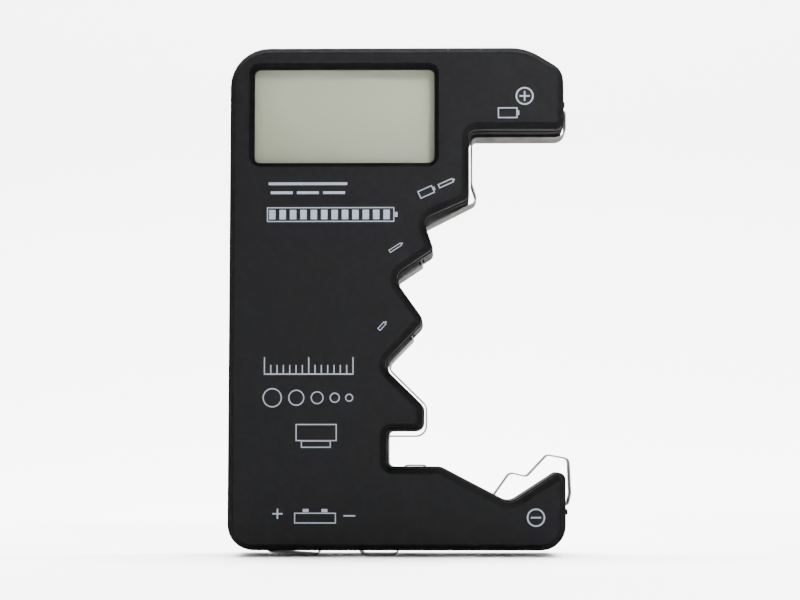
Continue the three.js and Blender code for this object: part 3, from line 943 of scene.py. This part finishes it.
def makeGaugeMark():
    left, right, bottom, top, count = markLook["gauge"]
    body = right - markLook["gaugeCap"]
    before, after = markLook["gaugeMargin"]
    inset = markLook["gaugeInset"]
    mesh = bmesh.new()
    printFrame(mesh, left, body, bottom, top)
    printBar(mesh, body + markLook["gaugeCapGap"], right, (bottom * 2 + top) / 3, (bottom + top * 2) / 3)
    pitch = (body - left - before - after) / count
    for i in range(count):
        start = left + before + i * pitch
        printBar(mesh, start, start + pitch * markLook["barShare"], bottom + inset, top - inset)
    makeMark("levelGaugeMark", mesh)


# Direct current: one unbroken bar over a row of short ones.
def makeDirectMark():
    left, right, bottom, top, count = markLook["direct"]
    height, gap = markLook["dashHeight"], markLook["dashGap"]
    mesh = bmesh.new()
    printBar(mesh, left, right, top - height, top)
    pitch = (right - left) / count
    for i in range(count):
        start = left + i * pitch + gap
        printBar(mesh, start, start + pitch - gap * 2, bottom, bottom + height)
    makeMark("directCurrentMark", mesh)


def makeRulerMark():
    left, right, bottom, top, count = markLook["ruler"]
    half = markLook["tick"] / 2
    short = (bottom + top) / 2 + markLook["tick"]
    mesh = bmesh.new()
    printBar(mesh, left, right, bottom, bottom + markLook["rulerBase"])
    for i in range(count):
        x = left + half + (right - left - half * 2) * i / (count - 1)
        reach = top if i % markLook["longEvery"] == 0 else short
        printBar(mesh, x - half, x + half, bottom + markLook["tickFoot"], reach)
    makeMark("rangeScaleMark", mesh)


def makeButtonCellMarks():
    line = markLook["line"]
    mesh = bmesh.new()
    for x, radius in markLook["coins"]:
        printOutline(mesh, circleLoop(x, markLook["coinsZ"], radius, 40),
                     circleLoop(x, markLook["coinsZ"], radius - line, 40))
    makeMark("coinSizeMark", mesh)
    mesh = bmesh.new()
    printFrame(mesh, *markLook["buttonUpper"])
    printFrame(mesh, *markLook["buttonLower"])
    makeMark("buttonCellMark", mesh)


def makePolarityMarks():
    arm, half = markLook["arm"], markLook["armHalf"]
    for name, (x, z) in markLook["polarity"].items():
        mesh = bmesh.new()
        printOutline(mesh, *[circleLoop(x, z, radius, 48) for radius in markLook["ring"]])
        if name == "plusMark":
            printPlus(mesh, x, z, arm, half)
        else:
            printBar(mesh, x - arm, x + arm, z - half, z + half)
        makeMark(name, mesh)
    mesh = bmesh.new()
    x, z, half = markLook["blockPlus"]
    printPlus(mesh, x, z, arm, half)
    printBar(mesh, *markLook["blockMinus"])
    printFrame(mesh, *markLook["block"])
    for stud in markLook["studs"]:
        printBar(mesh, *stud)
    makeMark("nineVoltMark", mesh)


def makeMarks():
    for name, numbers in markLook["cells"].items():
        makeCellMark(name, *numbers)
    makeGaugeMark()
    makeDirectMark()
    makeRulerMark()
    makeButtonCellMarks()
    makePolarityMarks()


makeMarks()
print("marks printed")


# in metres
stageLook = {
    "floor": (0.92, 0.92, 0.92, 1),
    "front": -2.0,
    "wallDistance": 0.9,
    "wallHeight": 2.2,
    "halfWidth": 2.5,
    "bend": 0.25,
    "bendSteps": 16,
    "surround": 0.14,
    # place, aim, size, watts, spread in degrees
    "lights": {
        "keyLight": ((0.38, -0.5, 0.62), (0.03, 0, 0.09), (0.4, 0.4), 4.0, 180),
        "cornerLight": ((0.34, -0.62, 0.5), (0.034, 0, 0.1), (0.1, 0.1), 0.15, 13),
        "fillLight": ((0.15, -1.1, 0.22), (0, 0, 0.05), (0.5, 0.3), 2.4, 180),
        "backdropLight": ((0, 0.2, 1.6), (0, 0.9, 0.1), (2.0, 0.6), 230, 180),
    },
}


def makeBackdrop():
    wall = stageLook["wallDistance"]
    bend = stageLook["bend"]
    profile = [(stageLook["front"], 0.0), (wall - bend, 0.0)]
    steps = stageLook["bendSteps"]
    for step in range(1, steps + 1):
        angle = math.pi / 2 * step / steps
        profile.append((wall - bend + bend * math.sin(angle), bend - bend * math.cos(angle)))
    profile.append((wall, stageLook["wallHeight"]))
    mesh = bmesh.new()
    half = stageLook["halfWidth"]
    rows = [[mesh.verts.new((x, y, z)) for x in (-half, half)] for y, z in profile]
    for low, high in zip(rows, rows[1:]):
        mesh.faces.new((low[0], low[1], high[1], high[0]))
    data = bpy.data.meshes.new("backdrop")
    mesh.to_mesh(data)
    mesh.free()
    data.shade_smooth()
    material, start, where = newMaterial("palePaper")
    tooth = start.noise(where, 900, 3, 0.5)
    finishMaterial(material, start, {"Base Color": stageLook["floor"], "Roughness": 0.9,
                                     "Normal": tooth.bump(0.02 * mm, 0.3)})
    data.materials.append(material)
    backdrop = bpy.data.objects.new("backdrop", data)
    bpy.context.scene.collection.objects.link(backdrop)


def makeLight(name, spot, aim, size, power, spread):
    light = bpy.data.lights.new(name, "AREA")
    light.shape = "RECTANGLE"
    light.size, light.size_y = size
    light.energy = power
    light.spread = math.radians(spread)
    lamp = bpy.data.objects.new(name, light)
    lamp.location = spot
    lamp.rotation_euler = (Vector(aim) - Vector(spot)).to_track_quat("-Z", "Y").to_euler()
    bpy.context.scene.collection.objects.link(lamp)


cameraLook = {
    "eye": (9.56, -329.0, 18.45),  # in millimetres from the middle of the case's lower edge
    "aim": (5.2, -9.0, 40.1),
    "lens": 77.25,
    "shift": (-0.03, 0.045),
}


def makeCamera():
    camera = bpy.data.cameras.new("camera")
    camera.lens = cameraLook["lens"]
    camera.sensor_width = 36
    camera.shift_x, camera.shift_y = cameraLook["shift"]
    camera.clip_start = 0.01
    viewer = bpy.data.objects.new("camera", camera)
    viewer.location = place(*cameraLook["eye"])
    aim = place(*cameraLook["aim"]) - viewer.location
    viewer.rotation_euler = aim.to_track_quat("-Z", "Y").to_euler()
    bpy.context.scene.collection.objects.link(viewer)
    bpy.context.scene.camera = viewer


makeBackdrop()
for name, numbers in stageLook["lights"].items():
    makeLight(name, *numbers)
world = bpy.data.worlds.new("studio")
world.use_nodes = True
world.node_tree.nodes["Background"].inputs["Color"].default_value = (1, 1, 1, 1)
world.node_tree.nodes["Background"].inputs["Strength"].default_value = stageLook["surround"]
bpy.context.scene.world = world
makeCamera()
print("stage made")
